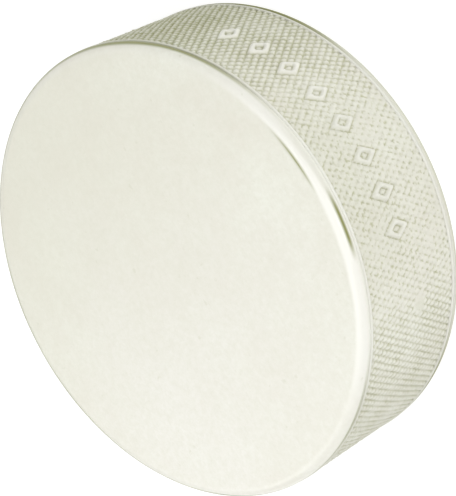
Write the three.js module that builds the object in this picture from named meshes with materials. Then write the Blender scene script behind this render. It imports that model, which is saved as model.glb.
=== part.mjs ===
// A hockey puck: one solid disc of moulded rubber, lying on a flat face.
// Millimetres. +Z is the puck's axis, and the origin is the centre of the lower face.
//
// Each face runs into a smooth rounded rim. Below the rim comes a fine mould groove, then a thin
// raised bead, and between the two beads the side is one straight grip band. The band stands at
// the height of its knurl's crests.

import * as THREE from 'three';

// ---- driving dimensions ----

const DIAMETER = 76.2; // three inches, measured over the beads
const THICKNESS = 25.4; // one inch, face to face

const RIM_INSET = 1.8; // width of the rounded rim, seen from above
const RIM_DROP = 1.35; // height of the rounded rim, seen from the side
const RIM_SETBACK = 0.1; // how far the rim's widest line lies inside the beads

const GROOVE_WIDTH = 0.3; // mould groove between rim and bead, up and down the side
const GROOVE_DEPTH = 0.3; // measured in from the rim's widest line

const BEAD_WIDTH = 0.56; // up and down the side
const BEAD_HEIGHT = 0.12; // how far the bead stands out from the grip band

const RADIAL_SEGMENTS = 96;
const RIM_STEPS = 6;
const BEAD_STEPS = 4;

// ---- sizes that follow ----

const OUTER_RADIUS = DIAMETER / 2;
const RIM_RADIUS = OUTER_RADIUS - RIM_SETBACK;
const GROOVE_RADIUS = RIM_RADIUS - GROOVE_DEPTH;
const BAND_RADIUS = OUTER_RADIUS - BEAD_HEIGHT;

// Heights above the puck's mid-plane.
const FACE_HEIGHT = THICKNESS / 2;
const RIM_FOOT = FACE_HEIGHT - RIM_DROP;
const GROOVE_MIDDLE = RIM_FOOT - GROOVE_WIDTH / 2;
const BEAD_MIDDLE = RIM_FOOT - GROOVE_WIDTH - BEAD_WIDTH / 2;

// ---- the outline, as (radius, height above the mid-plane) ----

// An elliptical arc through the angles from `start` to `end`, in radians.
function arc(centre, across, up, start, end, steps) {
  const points = [];
  for (let step = 0; step <= steps; step += 1) {
    const angle = THREE.MathUtils.lerp(start, end, step / steps);
    const radius = centre.x + across * Math.cos(angle);
    const height = centre.y + up * Math.sin(angle);
    points.push(new THREE.Vector2(radius, height));
  }
  return points;
}

// The thin raised line that closes the grip band, from its lower edge to its upper edge.
function beadOutline() {
  const centre = new THREE.Vector2(BAND_RADIUS, BEAD_MIDDLE);
  return arc(centre, BEAD_HEIGHT, BEAD_WIDTH / 2, -Math.PI / 2, Math.PI / 2, BEAD_STEPS);
}

// The rounded rim, from the groove up to the flat face.
function rimOutline() {
  const centre = new THREE.Vector2(RIM_RADIUS - RIM_INSET, RIM_FOOT);
  return arc(centre, RIM_INSET, RIM_DROP, 0, Math.PI / 2, RIM_STEPS);
}

// Everything above the mid-plane, from the grip band to the middle of the face.
function upperOutline() {
  const grooveFloor = new THREE.Vector2(GROOVE_RADIUS, GROOVE_MIDDLE);
  const faceCentre = new THREE.Vector2(0, FACE_HEIGHT);
  return [...beadOutline(), grooveFloor, ...rimOutline(), faceCentre];
}

// The whole outline, from the middle of the lower face to the middle of the upper face.
function puckOutline() {
  const upper = upperOutline();
  const lower = upper.map((point) => new THREE.Vector2(point.x, -point.y)).reverse();
  return [...lower, ...upper].map((point) => new THREE.Vector2(point.x, point.y + FACE_HEIGHT));
}

// ---- the solid ----

function rubber() {
  return new THREE.MeshStandardMaterial({ color: 0xe9e7da, roughness: 0.5, metalness: 0 });
}

function puckBody() {
  const body = new THREE.Mesh(new THREE.LatheGeometry(puckOutline(), RADIAL_SEGMENTS), rubber());
  body.name = 'puck_body';
  body.rotation.x = Math.PI / 2; // the lathe turns about Y, and the puck's axis is Z
  return body;
}

const puck = new THREE.Group();
puck.add(puckBody());

export default puck;
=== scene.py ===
"""The looks of a hockey puck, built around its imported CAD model.

The puck lies on its lower face with its axis along Z. A side angle is measured around the axis from -Y
towards +X. It is in degrees in the tables below, from -180 to 180. A height is measured from the puck's
mid-plane. The puck's sizes are in millimetres until its mesh is made.
"""

import math

import bpy
import numpy as np
from mathutils import Matrix, Vector


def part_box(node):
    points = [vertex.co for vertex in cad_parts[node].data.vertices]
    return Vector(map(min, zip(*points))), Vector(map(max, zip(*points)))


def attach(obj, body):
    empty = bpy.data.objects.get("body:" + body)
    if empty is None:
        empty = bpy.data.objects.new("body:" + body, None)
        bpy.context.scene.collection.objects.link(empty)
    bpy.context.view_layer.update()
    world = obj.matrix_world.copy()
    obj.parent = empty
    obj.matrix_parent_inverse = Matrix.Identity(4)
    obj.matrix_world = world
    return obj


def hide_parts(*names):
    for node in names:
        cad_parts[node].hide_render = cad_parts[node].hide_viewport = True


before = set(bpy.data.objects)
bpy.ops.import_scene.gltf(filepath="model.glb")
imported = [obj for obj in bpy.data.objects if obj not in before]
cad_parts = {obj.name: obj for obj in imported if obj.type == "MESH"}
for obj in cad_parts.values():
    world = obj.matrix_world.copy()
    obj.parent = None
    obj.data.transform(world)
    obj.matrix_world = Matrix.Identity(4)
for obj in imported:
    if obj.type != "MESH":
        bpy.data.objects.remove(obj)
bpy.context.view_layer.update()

NODE = "puck_body"
MM = 0.001

# The puck's points are kept in tables with these columns. The last four become the mesh's attributes.
COLUMNS = ("angle", "radius", "height", "crevice_shade", "polish", "painted_highlight", "painted_shade")

low_corner, high_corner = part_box(NODE)
OUTER_RADIUS = (high_corner.x - low_corner.x) / 2 / MM
FACE_HEIGHT = (high_corner.z - low_corner.z) / 2 / MM
MID_PLANE = (high_corner.z + low_corner.z) / 2

# ---- the knurl ----

DIAMONDS_AROUND = 200
ROW_STEP = 1.029  # from one row of diamonds to the next, which is shifted by half a diamond
HALF_ROWS = 10  # rows from the mid-plane to the edge of the knurl
CREST_RADIUS = OUTER_RADIUS - 0.12
KNURL_DEPTH = 0.32  # from the crests down to the pits, where the knurl is crispest
UNEVENNESS = 0.035  # how far the moulded surface strays in and out
DEPTH_SPREAD = 0.12  # how far the depth strays, as a share of it
DEPTH_ROUNDS = 40  # rounds of smoothing, so that the depth strays slowly along the band
SEED = 7  # for every random number

# Each diamond is crossed by this many lines of vertices each way. The stops are their places across it,
# from groove to groove, and the levels are the share of the full height that each reaches.
CELL_STOPS = np.array([0.0, 0.2, 0.5, 0.8])
CREST_LEVELS = np.array([0.0, 0.74, 1.0, 0.74])
STOPS = len(CELL_STOPS)

# Each pair is the value for the crisp knurl, and what is added to it on the front, which is rubbed smoother
# and has its own painted shade.
SADDLE = (0.12, 0.66)  # how far a groove is filled between two pits
FILL_SPREAD = (0.15, 0.15)  # how unevenly the grooves are filled
CREVICE_SPREAD = (0.2, 0.5)  # how unevenly the crevices are painted with shade

# ---- wear, painted shade and painted highlights ----

# Stretches around the side, each as the degrees where it starts, is full, stops being full and ends.
RUBBED_AND_SHADED_FRONT = (-46, -20, 8, 34)
# Where the front of the band is evenly darkened.
WORN_FRONT = (-52, -32, 14, 42)
DARKENED_FRONT = (-36, -10, 8, 34)
FAINT_SIDE = (-90, -66, -46, -34)  # where the painted shade in the crevices is fainter
HIGHLIGHTED_RIM = (-60, -36, 18, 50)  # where the painted highlight on the bead, groove and rim is strongest

FRONT_WEAR = 0.15  # share of the knurl's depth that is worn away
PATCH_WEAR = 0.75  # the same share, in the smooth patch
PATCH_PLACE = (-34, -1.6)  # side angle and height
PATCH_REACH = (2.6, 1.6)  # degrees around the side and millimetres up it
PATCH_EDGE = (0.5, 1.3)  # where the patch starts to fade and where it ends, as shares of its reach

UPPER_HALF = (-4, 7)  # heights between which the lower half's looks turn into the upper half's
CREVICE_TINT = 0.95  # how strongly the crevices are painted with shade
FRONT_TINT = (-0.1, 0.22)  # added to the crevices' painted shade in front, and added to that in the upper half
FAINT_TINT = -0.18  # added to the crevices' painted shade where it is fainter
WORN_CREVICE = 0.4  # the share of the crevices' painted shade that fully worn rubber keeps
CREST_SHADE = 0.08  # share of the band's painted shade that the crests get
SHADE_CURVE = 0.65  # below 1, so that the painted shade spreads out of the grooves
FRONT_DARKENING = (0.055, 0.075)  # an even darkening in front, and what is added to it in the upper half

# Painted shade on the band from the front round to the back, darkest on the +X side, as smooth steps of
# (start, end, rise) in degrees: first towards +X, then towards -X. Both sides meet at the same amount at the
# back.
SIDE_SHADE_PLUS = (
    (22, 78, 1.0),
    (52, 66, 0.15),
    (66, 76, 0.2),
    (80, 110, -0.15),
    (82, 98, -0.2),
    (95, 180, -0.5),
)
SIDE_SHADE_MINUS = (
    (38, 80, 0.38),
    (64, 80, 0.3),
    (90, 110, -0.3),
    (110, 180, 0.12),
)
GROOVE_SHADE_PLUS = (
    (16, 48, 1.0),
)
GROOVE_SHADE_MINUS = (
    (34, 64, 0.8),
    (80, 150, 0.2),
)

# ---- the row of raised lozenges on the band ----

MARK_HEIGHT = 0.28  # above the crests
MARK_FOOT = 0.24  # how far below the crests a lozenge's outline starts
MARK_LEVELS = np.array([0.0, 0.6, 1.0, 0.6])
MARK_ROW = 1  # rows above the mid-plane
MARK_MIDDLE = 19  # side angle of the row's middle, in half diamonds
MARK_PERIOD = 10  # half diamonds from one lozenge to the next
MARK_COUNT = 8
# Strength of the painted highlight on the lozenges' tops.
MARK_HIGHLIGHT = 0.7

# ---- the crease, bead and mould groove beside the band ----

CREASE_RADIUS = CREST_RADIUS - 0.08  # between the knurl and the bead
CREASE_HEIGHT = 10.34
CREASE_SHADE = 0.6  # share of the band's painted shade
CREASE_CREVICE = 0.25  # painted shade in the crease and in the mould groove

BEAD_FOOT = OUTER_RADIUS - 0.4  # radius from which the bead rises
BEAD_RISE = 0.36  # from its foot to its top
BEAD_MIDDLE = 10.68  # height
BEAD_HALF_WIDTH = 0.27  # up and down the side
BEAD_POLISH = 0.3  # also that of the mould groove
# Strength of the painted highlight along the bead.
BEAD_HIGHLIGHT = 0.7
# Shares of the band's painted shade and of the groove's, on the bead's rings from the band to the groove.
BEAD_SHADE = ((0.6, 0), (0.25, 0), (0.1, 0), (0.15, 0.2), (0.5, 0.95))

GROOVE_HEIGHTS = (11.08, 11.20)  # where its floor starts and ends
GROOVE_DEPTH = 0.13  # below the outer radius, where the groove has no painted shade
SHADED_GROOVE_DEPTH = 0.23  # what is added to that where the groove's painted shade is full
# Strength of the painted highlight in the mould groove.
GROOVE_HIGHLIGHT = 0.4

# ---- the rounded rim ----

RIM_RADIUS = OUTER_RADIUS - 0.1  # where the rim is widest
RIM_INSET = 1.8  # width of the rounded rim, seen from above
RIM_FOOT = 11.35  # height where the rim starts
RIM_STEPS = 12  # rings up the rounded rim, from its foot to the face
RING_POINTS = 2 * DIAMONDS_AROUND  # vertices around the rim, bead and face
FACE_RADII = (RIM_RADIUS - RIM_INSET - 0.25, 30.0, 20.0, 10.0)  # rings on the flat face

RIM_MATT = (10, 12.5)  # steps between which the polish of the rim ends
RIM_HIGHLIGHT = (-2, 4, 9, 12.5)  # steps where the rim's painted highlight starts, is full, fades and ends
LEAST_HIGHLIGHT = 0.25  # share of the painted highlight away from the front

# Painted shade reaches this many steps up the rim: in front, and with smooth steps towards +X and the back.
FRONT_REACH = 2.5
REACH_PLUS = (
    (0, 20, 1.5),
    (44, 70, 2.0),
)
BACK = (80, 115)  # degrees either way between which the front turns into the back
BACK_REACH = 7.5
FAR_REACH = (
    (110, 170, 3.0),
)
# The share of the reach over which the painted shade is solid: in front, and what is added at the back.
SOLID = (0.35, 0.3)
PLUS_SOLID = (
    (45, 65, 0.6),  # share of the added amount on the +X side
)

# Painted on the upper rim: two dark reflections on its gloss and shade at its foot.
# Each is a stretch around the side and a stretch of steps up the rim.
OUTER_DARK_REFLECTION = ((-17, -10.5, -5, 4), (0, 2, 3, 5))
INNER_DARK_REFLECTION = ((-1, 9.5, 10.5, 23), (9.4, 10.8, 11.2, 12.4))
FOOT_SHADE = ((-8, 0, 12, 30), (0, 2, 4, 6.5))
FOOT_SHADE_STRENGTH = 0.17  # how dark the painted shade at the rim's foot is, where the painted dark reflections have 1

# Painted shade on the lower rim, next to the floor, which rises and then ends between these steps.
LOWER_SHADE = (0.3, 0.5)  # at the foot, and what is added further down
LOWER_RISE = (0, 4)
LOWER_END = (6, 9)

# ---- colours of the rubber ----

IVORY, GREENISH_IVORY = (0.787, 0.763, 0.672), (0.858, 0.867, 0.778)
GRAIN_COLOUR = (0.72, 0.715, 0.6)
# Colour of the painted highlights on the rim, bead, groove and lozenges.
HIGHLIGHT_COLOUR = (0.9, 0.895, 0.83)
SPECK_COLOUR = (0.62, 0.62, 0.48)
# Olive colour of the painted shade in the crevices, crease and mould groove.
CREVICE_SHADE_COLOUR = (0.52, 0.52, 0.34)
# Olive colour of the painted shade on the band, bead, grooves and rims.
SHADE_COLOUR = (0.27, 0.28, 0.1)

# Painted shade and painted sheen on the upper face, as round areas: darker towards +X, paler towards -X.
# Each has a centre, radius where the area starts to fade and where it ends, strength and colour.
FACE_SHADE_AND_SHEEN = (
    ((22, 20), 10, 50, 0.5, (0.76, 0.755, 0.64)),
    ((-20, 0), 5, 44, 0.5, (0.845, 0.828, 0.775)),
    ((-26, 22), 0, 34, 0.4, (0.9, 0.89, 0.84)),
)
AREA_STRAY = 60  # how far the clouds move an area's edge in and out, from end to end

DULL_ROUGHNESS, POLISHED_ROUGHNESS = 0.48, 0.3
ROUGHNESS_STRAY = 0.03  # either way
BUMP_DEPTH = 0.1  # millimetres, before the strength
BUMP_STRENGTH = 0.25

# ---- the studio, in metres and watts unless said otherwise ----

FLOOR_HALF_SIDE = 3.0
FLOOR_GAP = 0.0002  # below the puck
FLOOR_GREY = 0.3
FLOOR_ROUGHNESS = 0.9
FLOOR_GLOW = 0.82

# The sky's strength falls from "To Min" to "To Max" between two values of the direction's Z.
SKY_FADE = {"From Min": 0.04, "From Max": 0.25, "To Min": 1.0, "To Max": 0.24}

# Name, direction from the puck, distance, diameter and power of each round lamp.
LAMPS = (
    ("over", (-0.11, 0.03, 0.99), 0.45, 0.38, 0.84),
    ("front", (-0.14, -0.99, 1.0), 0.5, 0.25, 0.77),
    ("front_right", (0.5, -0.8, 0.3), 0.5, 0.2, 0.16),
    ("back", (0, 0.7, 0.7), 0.5, 0.25, 0.13),
    ("back_right", (0.5, 0.6, 0.5), 0.5, 0.25, 0.12),
    ("sheen", (-0.35, 0.55, 0.6), 0.25, 0.12, 0.09),
    ("near", (-0.6, 0, 0.8), 0.2, 0.12, 0.025),
)

CAMERA_ELEVATION = 44.17  # degrees
CAMERA_ROLL = -117.88  # degrees
CAMERA_DISTANCE = 0.3304
CAMERA_AIM = Vector((-0.27 * MM, -0.98 * MM, MID_PLANE - 1.0 * MM))
CAMERA_LENS = 148.6  # millimetres


# ---- smooth changes, and how wear and painted shade run around the puck ----


def smooth(edge_low, edge_high, values):
    """0 below edge_low, 1 above edge_high, and a smooth step between them."""
    share = np.clip((values - edge_low) / (edge_high - edge_low), 0, 1)
    return share * share * (3 - 2 * share)


def rises(steps, values):
    """The sum of smooth steps, each given as (start, end, rise)."""
    return sum(rise * smooth(start, end, values) for start, end, rise in steps)


def between(stretch, values):
    """1 in the full part of a stretch, 0 outside it, and smooth in between."""
    start, full_from, full_to, end = stretch
    return smooth(start, full_from, values) * (1 - smooth(full_to, end, values))


def ramp(pair, share):
    """The pair's first value, with `share` of its second value added."""
    return pair[0] + pair[1] * share


def in_degrees(angle):
    """Side angles in degrees, from -180 to 180."""
    return (np.degrees(angle) + 180) % 360 - 180


def groove_shade(degrees):
    """How much painted shade the mould groove has around the puck, none in front and most at the back; the
    same share deepens the groove.
    """
    return rises(GROOVE_SHADE_PLUS, degrees) + rises(GROOVE_SHADE_MINUS, -degrees)


def side_shade(degrees):
    """How much painted shade the grip band has around the puck, most on the +X side."""
    return rises(SIDE_SHADE_PLUS, degrees) + rises(SIDE_SHADE_MINUS, -degrees)


def wear_share(degrees, height):
    """How far the knurl is worn down, from 0 to 1: rubbed in front, with one smooth patch."""
    front = FRONT_WEAR * between(WORN_FRONT, degrees)
    across = (degrees - PATCH_PLACE[0]) / PATCH_REACH[0]
    up = (height - PATCH_PLACE[1]) / PATCH_REACH[1]
    patch = PATCH_WEAR * (1 - smooth(*PATCH_EDGE, np.hypot(across, up)))
    return np.maximum(front, patch)


def fuzz(shape, rounds, rng):
    """Random numbers with unit spread over the band, smoothed a number of times."""
    values = rng.normal(size=shape)
    for _ in range(rounds):
        values = values + np.roll(values, 1, 1) + np.roll(values, -1, 1)
        values = values + np.roll(values, 1, 0) + np.roll(values, -1, 0)
    return values / values.std()


# ---- the raised lozenges ----


def is_marked(first, second):
    """Whether the diamond between grooves `first` and `second` is part of a lozenge's outline."""
    around = first + second + 1
    up = first - second - MARK_ROW
    marked = np.zeros(first.shape, bool)
    for mark in range(MARK_COUNT):
        centre = MARK_MIDDLE + MARK_PERIOD * (mark - (MARK_COUNT - 1) / 2)
        across = (around - centre + DIAMONDS_AROUND) % (2 * DIAMONDS_AROUND) - DIAMONDS_AROUND
        reach = np.maximum(np.abs(across + up), np.abs(across - up)) // 2
        marked |= reach == 1
    return marked


def mark_level(index, beside_low, beside_high):
    """An outline's level across one diamond, which runs on level into a raised neighbour."""
    level = MARK_LEVELS[index]
    level = np.where((index == 1) & beside_low, 1.0, level)
    return np.where((index == STOPS - 1) & beside_high, 1.0, level)


def mark_relief(first_line, second_line):
    """The lozenges on the band, at each crossing of two lines.

    Returns where the lozenges are, where the grooves beside them are, and the lozenges' height over the
    crests.
    """
    first, first_index = first_line // STOPS, first_line % STOPS
    second, second_index = second_line // STOPS, second_line % STOPS
    on_first_groove, on_second_groove = first_index == 0, second_index == 0
    before_first, before_second = is_marked(first - 1, second), is_marked(first, second - 1)
    before_both = is_marked(first - 1, second - 1)

    marked = is_marked(first, second)
    here = marked & (~on_first_groove | before_first) & (~on_second_groove | before_second)
    here &= ~(on_first_groove & on_second_groove) | before_both
    near = marked | (on_first_groove & before_first) | (on_second_groove & before_second)
    near |= on_first_groove & on_second_groove & before_both

    across_first = mark_level(first_index, before_first, is_marked(first + 1, second))
    across_second = mark_level(second_index, before_second, is_marked(first, second + 1))
    across_first = np.where(on_first_groove, 1.0, across_first)
    across_second = np.where(on_second_groove, 1.0, across_second)
    height = (MARK_HEIGHT + MARK_FOOT) * across_first * across_second - MARK_FOOT
    return here, near & ~here, height


# ---- the grip band ----


def band_grid():
    """The band's vertices: the numbers of the two lines that cross in each, its angle and its height."""
    rows = np.arange(-STOPS * HALF_ROWS, STOPS * HALF_ROWS + 1)[:, None]
    columns = 2 * np.arange(STOPS * DIAMONDS_AROUND)[None, :] + rows % 2
    first_line, second_line = (columns + rows) // 2, (columns - rows) // 2
    first = first_line // STOPS + CELL_STOPS[first_line % STOPS]
    second = second_line // STOPS + CELL_STOPS[second_line % STOPS]
    angle = (first + second) * math.pi / DIAMONDS_AROUND
    height = (first - second) * ROW_STEP
    return first_line, second_line, angle, height


def knurl_share(first_line, second_line, front, rng):
    """The share of the knurl's depth that each vertex stands above the pits, 1 on the crests."""
    first_level, second_level = CREST_LEVELS[first_line % STOPS], CREST_LEVELS[second_line % STOPS]
    diamond = first_level * second_level
    ridge = np.maximum(first_level, second_level)
    share = diamond + ramp(SADDLE, front) * (ridge - diamond)
    share = share + ramp(FILL_SPREAD, front) * (1 - share) * fuzz(front.shape, 0, rng)
    return np.clip(share, 0, 1)


def crevice_tint(degrees, front, upper_half):
    """How strongly the crevices are painted with shade around the band."""
    tint = CREVICE_TINT + ramp(FRONT_TINT, upper_half) * front
    return tint + FAINT_TINT * between(FAINT_SIDE, degrees)


def band_shade(degrees, crevice_shade, upper_half):
    """Painted shade on the band, most of it in the crevices, and an even darkening in front."""
    painted_shade = side_shade(degrees) * (CREST_SHADE + (1 - CREST_SHADE) * crevice_shade ** SHADE_CURVE)
    return painted_shade + between(DARKENED_FRONT, degrees) * ramp(FRONT_DARKENING, upper_half)


def knurl_band(rng):
    """The grip band's rows of vertices, as a table with the columns that COLUMNS names."""
    first_line, second_line, angle, height = band_grid()
    degrees = in_degrees(angle)
    front = between(RUBBED_AND_SHADED_FRONT, degrees)
    upper_half = smooth(*UPPER_HALF, height)
    worn = wear_share(degrees, height)
    here, beside, mark = mark_relief(first_line, second_line)

    share = np.where(beside, 0, knurl_share(first_line, second_line, front, rng))
    depth = KNURL_DEPTH * (1 - worn) * (1 + DEPTH_SPREAD * fuzz(angle.shape, DEPTH_ROUNDS, rng))
    relief = -depth * (1 - share) + UNEVENNESS * fuzz(angle.shape, 0, rng)
    relief = np.minimum(np.where(here, mark, relief), MARK_HEIGHT)

    # Painted shade in the crevices: darker the further a point lies below the crests.
    crevice_shade = (1 - share) * depth / KNURL_DEPTH
    crevice_shade = crevice_tint(degrees, front, upper_half) * crevice_shade
    crevice_shade = crevice_shade * np.exp(ramp(CREVICE_SPREAD, front) * fuzz(angle.shape, 0, rng))
    crevice_shade = np.maximum(np.clip(crevice_shade, 0, 1), WORN_CREVICE * worn)
    # Painted shade on the lozenges' sides, darkest at their feet.
    crevice_shade = np.where(here, np.clip(-mark / MARK_FOOT, 0, 1), crevice_shade)

    polish = np.zeros_like(angle)
    # Painted highlight on the lozenges' tops.
    painted_highlight = np.where(here, MARK_HIGHLIGHT * smooth(0, MARK_HEIGHT, mark), 0)
    # Painted shade on the band, darkest towards +X and the back.
    painted_shade = band_shade(degrees, crevice_shade, upper_half)
    return np.stack([angle, CREST_RADIUS + relief, height, crevice_shade, polish, painted_highlight, painted_shade], -1)


def band_faces(row_count, points):
    """Diamond-shaped faces between the band's rows, with a row of triangles along each edge."""
    faces = []
    for row in range(row_count):
        shift = (row - STOPS * HALF_ROWS) % 2
        for point in range(points):
            left = row * points + point
            right = row * points + (point + 1) % points
            middle = (point + shift) % points
            above = (row + 1) * points + middle if row + 1 < row_count else None
            below = (row - 1) * points + middle if row > 0 else None
            faces.append([vertex for vertex in (left, below, right, above) if vertex is not None])
    return faces


# ---- the rim, bead and face ----


def rim_mark(mark, degrees, step):
    """How much of a mark one ring of the rim has."""
    around, up = mark
    return between(around, degrees) * between(up, step)


def rim_shade(degrees, step, upper):
    """Painted shade on one ring of the rounded rim, which reaches further up the rim at the back."""
    turned = np.abs(degrees)
    back = smooth(*BACK, turned)
    reach = FRONT_REACH + rises(REACH_PLUS, degrees)
    reach = reach + back * (BACK_REACH - reach) + rises(FAR_REACH, turned)
    solid = ramp(SOLID, np.maximum(back, rises(PLUS_SOLID, degrees))) * reach
    painted_shade = groove_shade(degrees) * (1 - smooth(solid, reach, step))
    if upper:
        # Two painted dark reflections on the rim's gloss, and painted shade at the rim's foot.
        dark_reflections = np.maximum(rim_mark(OUTER_DARK_REFLECTION, degrees, step), rim_mark(INNER_DARK_REFLECTION, degrees, step))
        return np.maximum(painted_shade + FOOT_SHADE_STRENGTH * rim_mark(FOOT_SHADE, degrees, step), dark_reflections)
    # Painted shade on the lower rim, next to the floor.
    lower = ramp(LOWER_SHADE, smooth(*LOWER_RISE, step)) * (1 - smooth(*LOWER_END, step))
    return np.maximum(painted_shade, lower)


def rim_rings(angle, upper):
    """One rim's rings from the knurl to the face, each as a table with one row per point."""
    degrees = in_degrees(angle)
    # The groove's painted shade, which also deepens the groove.
    groove_shading = groove_shade(degrees)
    # The band's painted shade, which the crease and bead share.
    side_shading = side_shade(degrees)
    # How strong the painted highlight is around the puck, strongest in front.
    highlight_share = LEAST_HIGHLIGHT + (1 - LEAST_HIGHLIGHT) * between(HIGHLIGHTED_RIM, degrees)
    rings = []

    def add_ring(radius, height, crevice_shade, polish, painted_highlight, painted_shade):
        columns = (angle, radius, height, crevice_shade, polish, painted_highlight, painted_shade)
        rings.append(np.stack([np.broadcast_to(column, angle.shape) for column in columns], -1))

    # The crease between the band and the bead, with painted shade.
    add_ring(CREASE_RADIUS, CREASE_HEIGHT, CREASE_CREVICE, 0, 0, CREASE_SHADE * side_shading)

    for step, (side_share, groove_share) in enumerate(BEAD_SHADE):
        turn = math.pi * (step / (len(BEAD_SHADE) - 1) - 0.5)
        radius = BEAD_FOOT + BEAD_RISE * math.cos(turn)
        height = BEAD_MIDDLE + BEAD_HALF_WIDTH * math.sin(turn)
        painted_shade = np.maximum(side_share * side_shading, groove_share * groove_shading)
        add_ring(radius, height, 0, BEAD_POLISH, BEAD_HIGHLIGHT * highlight_share, painted_shade)

    for height in GROOVE_HEIGHTS:
        radius = OUTER_RADIUS - GROOVE_DEPTH - SHADED_GROOVE_DEPTH * groove_shading
        add_ring(radius, height, CREASE_CREVICE, BEAD_POLISH, GROOVE_HIGHLIGHT * highlight_share, groove_shading)

    for step in range(RIM_STEPS + 1):
        turn = math.pi / 2 * step / RIM_STEPS
        radius = RIM_RADIUS - RIM_INSET * (1 - math.cos(turn))
        height = RIM_FOOT + (FACE_HEIGHT - RIM_FOOT) * math.sin(turn)
        polish = 1 - smooth(*RIM_MATT, step)
        add_ring(radius, height, 0, polish, highlight_share * between(RIM_HIGHLIGHT, step), rim_shade(degrees, step, upper))

    for radius in FACE_RADII:
        add_ring(radius, FACE_HEIGHT, 0, 0, 0, 0)
    return rings


def ring_faces(outer, inner, upper):
    """Faces between two rings of vertex numbers, where the outer may have twice the inner's points."""
    faces = []
    count = len(inner)
    ratio = len(outer) // count
    for point in range(count):
        following = (point + 1) % count
        arc = [outer[(ratio * point + i) % len(outer)] for i in range(ratio + 1)]
        if ratio == 1:
            faces.append([arc[0], arc[1], inner[following], inner[point]])
        else:
            faces.append([arc[0], arc[1], inner[point]])
            faces.append([arc[1], arc[2], inner[following], inner[point]])
    return faces if upper else [face[::-1] for face in faces]


# ---- the puck ----


def puck_shape():
    """The whole puck, as one table of points and one list of faces."""
    band = knurl_band(np.random.default_rng(SEED))
    row_count, points = band.shape[:2]
    parts = [band.reshape(-1, len(COLUMNS))]
    faces = band_faces(row_count, points)
    total = row_count * points

    for side, edge_row in ((1, row_count - 1), (-1, 0)):
        upper = side > 0
        outer = list(range(edge_row * points, (edge_row + 1) * points))
        ring_angles = band[edge_row, 0, 0] + np.arange(RING_POINTS) * 2 * math.pi / RING_POINTS
        for ring in rim_rings(ring_angles, upper):
            ring[:, 2] *= side
            parts.append(ring)
            inner = list(range(total, total + RING_POINTS))
            faces += ring_faces(outer, inner, upper)
            outer = inner
            total += RING_POINTS
        parts.append(np.array([[0, 0, side * FACE_HEIGHT, 0, 0, 0, 0]]))
        fan = [[outer[i], outer[(i + 1) % RING_POINTS], total] for i in range(RING_POINTS)]
        faces += fan if upper else [face[::-1] for face in fan]
        total += 1
    return np.concatenate(parts), faces


def build_puck():
    """The puck as one closed mesh, with the looks of its points kept as attributes."""
    table, faces = puck_shape()
    angle, radius, height = table.T[:3]
    places = np.stack([
        radius * np.sin(angle) * MM,
        -radius * np.cos(angle) * MM,
        MID_PLANE + height * MM,
    ], -1)
    mesh = bpy.data.meshes.new("puck")
    mesh.from_pydata(places.tolist(), [], faces)
    for name, values in zip(COLUMNS[3:], table.T[3:]):
        attribute = mesh.attributes.new(name, "FLOAT", "POINT")
        attribute.data.foreach_set("value", values.astype(np.float32))
    mesh.shade_smooth()
    mesh.validate()
    puck = bpy.data.objects.new("moulded_puck", mesh)
    bpy.context.scene.collection.objects.link(puck)
    return puck


# ---- the rubber ----


class Shading:
    """Short ways of adding nodes to a material. Each returns the new node's output."""

    def __init__(self, material):
        self.nodes = material.node_tree.nodes
        self.links = material.node_tree.links
        self.place = self.nodes.new("ShaderNodeTexCoord").outputs["Object"]

    def attribute(self, name):
        node = self.nodes.new("ShaderNodeAttribute")
        node.attribute_name = name
        return node.outputs["Fac"]

    def noise(self, scale, detail, roughness):
        node = self.nodes.new("ShaderNodeTexNoise")
        node.inputs["Scale"].default_value = scale
        node.inputs["Detail"].default_value = detail
        node.inputs["Roughness"].default_value = roughness
        self.links.new(self.place, node.inputs["Vector"])
        return node.outputs["Fac"]

    def remap(self, value, old_range, new_range):
        """The value moved from one range to the other, and kept inside the new one."""
        node = self.nodes.new("ShaderNodeMapRange")
        node.inputs["From Min"].default_value, node.inputs["From Max"].default_value = old_range
        node.inputs["To Min"].default_value, node.inputs["To Max"].default_value = new_range
        self.links.new(value, node.inputs["Value"])
        return node.outputs["Result"]

    def add(self, first, second):
        node = self.nodes.new("ShaderNodeMath")
        node.operation = "ADD"
        self.links.new(first, node.inputs[0])
        self.links.new(second, node.inputs[1])
        return node.outputs["Value"]

    def mix(self, factor, first, second):
        """From colour `first` to colour `second`, each a node's output or three numbers."""
        node = self.nodes.new("ShaderNodeMix")
        node.data_type = "RGBA"
        self.links.new(factor, node.inputs["Factor"])
        for name, colour in (("A", first), ("B", second)):
            socket = next(i for i in node.inputs if i.name == name and i.type == "RGBA")
            if isinstance(colour, tuple):
                socket.default_value = (*colour, 1)
            else:
                self.links.new(colour, socket)
        return next(o for o in node.outputs if o.type == "RGBA")

    def face_area(self, centre, inner, outer, strength):
        """A round area of the upper face that fades out from `inner` to `outer`, with a cloudy edge."""
        away = self.nodes.new("ShaderNodeVectorMath")
        away.operation = "DISTANCE"
        away.inputs[1].default_value = (centre[0] * MM, centre[1] * MM, high_corner.z)
        self.links.new(self.place, away.inputs[0])
        cloudy = self.nodes.new("ShaderNodeMath")
        cloudy.operation = "MULTIPLY_ADD"
        self.links.new(self.noise(scale=45, detail=6, roughness=0.65), cloudy.inputs[0])
        cloudy.inputs[1].default_value = AREA_STRAY * MM
        self.links.new(away.outputs["Value"], cloudy.inputs[2])
        middle = AREA_STRAY / 2  # added by the clouds on average
        fade = ((inner + middle) * MM, (outer + middle) * MM)
        return self.remap(cloudy.outputs["Value"], fade, (strength, 0))


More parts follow.
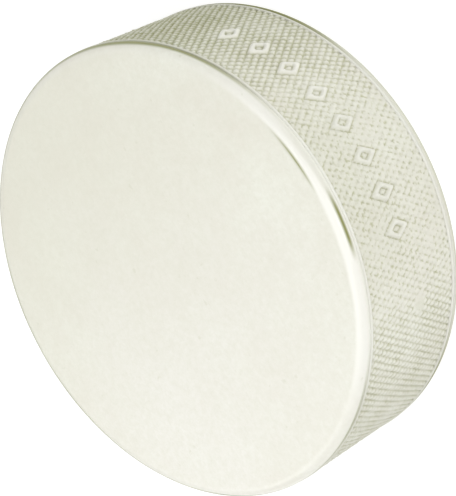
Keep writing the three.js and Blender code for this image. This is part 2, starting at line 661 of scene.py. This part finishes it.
def rubber_colour(shading):
    """Cloudy ivory with a fine grain and specks, painted highlights and sheen, and olive painted shade."""
    cloud = shading.remap(shading.noise(scale=60, detail=6, roughness=0.75), (0.3, 0.7), (0, 1))
    colour = shading.mix(cloud, IVORY, GREENISH_IVORY)
    # Painted shade and painted sheen on the upper face.
    for centre, inner, outer, strength, area_colour in FACE_SHADE_AND_SHEEN:
        colour = shading.mix(shading.face_area(centre, inner, outer, strength), colour, area_colour)
    grain = shading.remap(shading.noise(scale=1200, detail=4, roughness=0.7), (0.3, 0.7), (0, 0.5))
    colour = shading.mix(grain, colour, GRAIN_COLOUR)
    # Painted highlights on the rim, bead, groove and lozenges.
    painted_highlight = shading.remap(shading.attribute("painted_highlight"), (0, 1), (0, 0.9))
    colour = shading.mix(painted_highlight, colour, HIGHLIGHT_COLOUR)
    speck = shading.remap(shading.noise(scale=700, detail=2, roughness=0.5), (0.7, 0.76), (0, 0.3))
    colour = shading.mix(speck, colour, SPECK_COLOUR)
    # Olive painted shade in the crevices, crease and mould groove.
    crevice_shade = shading.remap(shading.attribute("crevice_shade"), (0.15, 1), (0, 1))
    colour = shading.mix(crevice_shade, colour, CREVICE_SHADE_COLOUR)
    # Olive painted shade on the band, bead, grooves and rims.
    return shading.mix(shading.attribute("painted_shade"), colour, SHADE_COLOUR)


def rubber_roughness(shading):
    """Satin, glossier on the polished rims, and slightly uneven."""
    polish = shading.remap(shading.attribute("polish"), (0, 1), (DULL_ROUGHNESS, POLISHED_ROUGHNESS))
    uneven = shading.remap(
        shading.noise(scale=150, detail=2, roughness=0.5), (0.2, 0.8), (-ROUGHNESS_STRAY, ROUGHNESS_STRAY)
    )
    return shading.add(polish, uneven)


def rubber_bump(shading):
    """The finest texture of the moulded surface, too fine for the mesh."""
    bump = shading.nodes.new("ShaderNodeBump")
    bump.inputs["Strength"].default_value = BUMP_STRENGTH
    bump.inputs["Distance"].default_value = BUMP_DEPTH * MM
    shading.links.new(shading.noise(scale=1800, detail=3, roughness=0.6), bump.inputs["Height"])
    return bump.outputs["Normal"]


def rubber_material():
    """Ivory rubber, whose looks follow the mesh's attributes."""
    material = bpy.data.materials.new("ivory_rubber")
    material.use_nodes = True
    shading = Shading(material)
    shader = shading.nodes["Principled BSDF"]
    shading.links.new(rubber_colour(shading), shader.inputs["Base Color"])
    shading.links.new(rubber_roughness(shading), shader.inputs["Roughness"])
    shading.links.new(rubber_bump(shading), shader.inputs["Normal"])
    return material


# ---- the studio ----


def add_floor():
    """A pale floor that glows a little, so that it stays even and nearly white."""
    side = FLOOR_HALF_SIDE
    corners = [(-side, -side, 0), (side, -side, 0), (side, side, 0), (-side, side, 0)]
    mesh = bpy.data.meshes.new("floor")
    mesh.from_pydata(corners, [], [[0, 1, 2, 3]])
    floor = bpy.data.objects.new("floor", mesh)
    floor.location.z = low_corner.z - FLOOR_GAP
    bpy.context.scene.collection.objects.link(floor)
    material = bpy.data.materials.new("pale_floor")
    material.use_nodes = True
    shader = material.node_tree.nodes["Principled BSDF"]
    shader.inputs["Base Color"].default_value = (FLOOR_GREY, FLOOR_GREY, FLOOR_GREY, 1)
    shader.inputs["Roughness"].default_value = FLOOR_ROUGHNESS
    shader.inputs["Emission Color"].default_value = (1, 1, 1, 1)
    shader.inputs["Emission Strength"].default_value = FLOOR_GLOW
    mesh.materials.append(material)


def add_lamp(name, direction, distance, diameter, power):
    """A round soft lamp that faces the middle of the puck."""
    data = bpy.data.lights.new(name, "AREA")
    data.shape = "DISK"
    data.size = diameter
    data.energy = power
    lamp = bpy.data.objects.new(name, data)
    towards = Vector(direction).normalized()
    lamp.location = Vector((0, 0, MID_PLANE)) + towards * distance
    lamp.rotation_euler = towards.to_track_quat("Z", "Y").to_euler()
    bpy.context.scene.collection.objects.link(lamp)


def add_world():
    """An even studio sky, brighter towards the horizon like a pale backdrop."""
    world = bpy.data.worlds.new("studio")
    world.use_nodes = True
    nodes, links = world.node_tree.nodes, world.node_tree.links
    direction = nodes.new("ShaderNodeTexCoord").outputs["Generated"]
    split = nodes.new("ShaderNodeSeparateXYZ")
    links.new(direction, split.inputs["Vector"])
    fade = nodes.new("ShaderNodeMapRange")
    for name, number in SKY_FADE.items():
        fade.inputs[name].default_value = number
    links.new(split.outputs["Z"], fade.inputs["Value"])
    background = nodes["Background"]
    background.inputs["Color"].default_value = (1, 1, 1, 1)
    links.new(fade.outputs["Result"], background.inputs["Strength"])
    bpy.context.scene.world = world


def add_camera():
    """The main view, from the front and above, with the camera rolled until the puck stands on edge."""
    elevation, roll = math.radians(CAMERA_ELEVATION), math.radians(CAMERA_ROLL)
    back = Vector((0, -math.cos(elevation), math.sin(elevation)))
    level = back.to_track_quat("Z", "Y").to_matrix().to_4x4()
    place = Matrix.Translation(CAMERA_AIM + CAMERA_DISTANCE * back)
    data = bpy.data.cameras.new("camera")
    data.lens = CAMERA_LENS
    camera = bpy.data.objects.new("camera", data)
    camera.matrix_world = place @ level @ Matrix.Rotation(roll, 4, "Z")
    bpy.context.scene.collection.objects.link(camera)
    bpy.context.scene.camera = camera


puck = build_puck()
puck.data.materials.append(rubber_material())
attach(puck, "root")
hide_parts(NODE)
add_floor()
for lamp in LAMPS:
    add_lamp(*lamp)
add_world()
add_camera()
bpy.context.scene.view_settings.view_transform = "Standard"
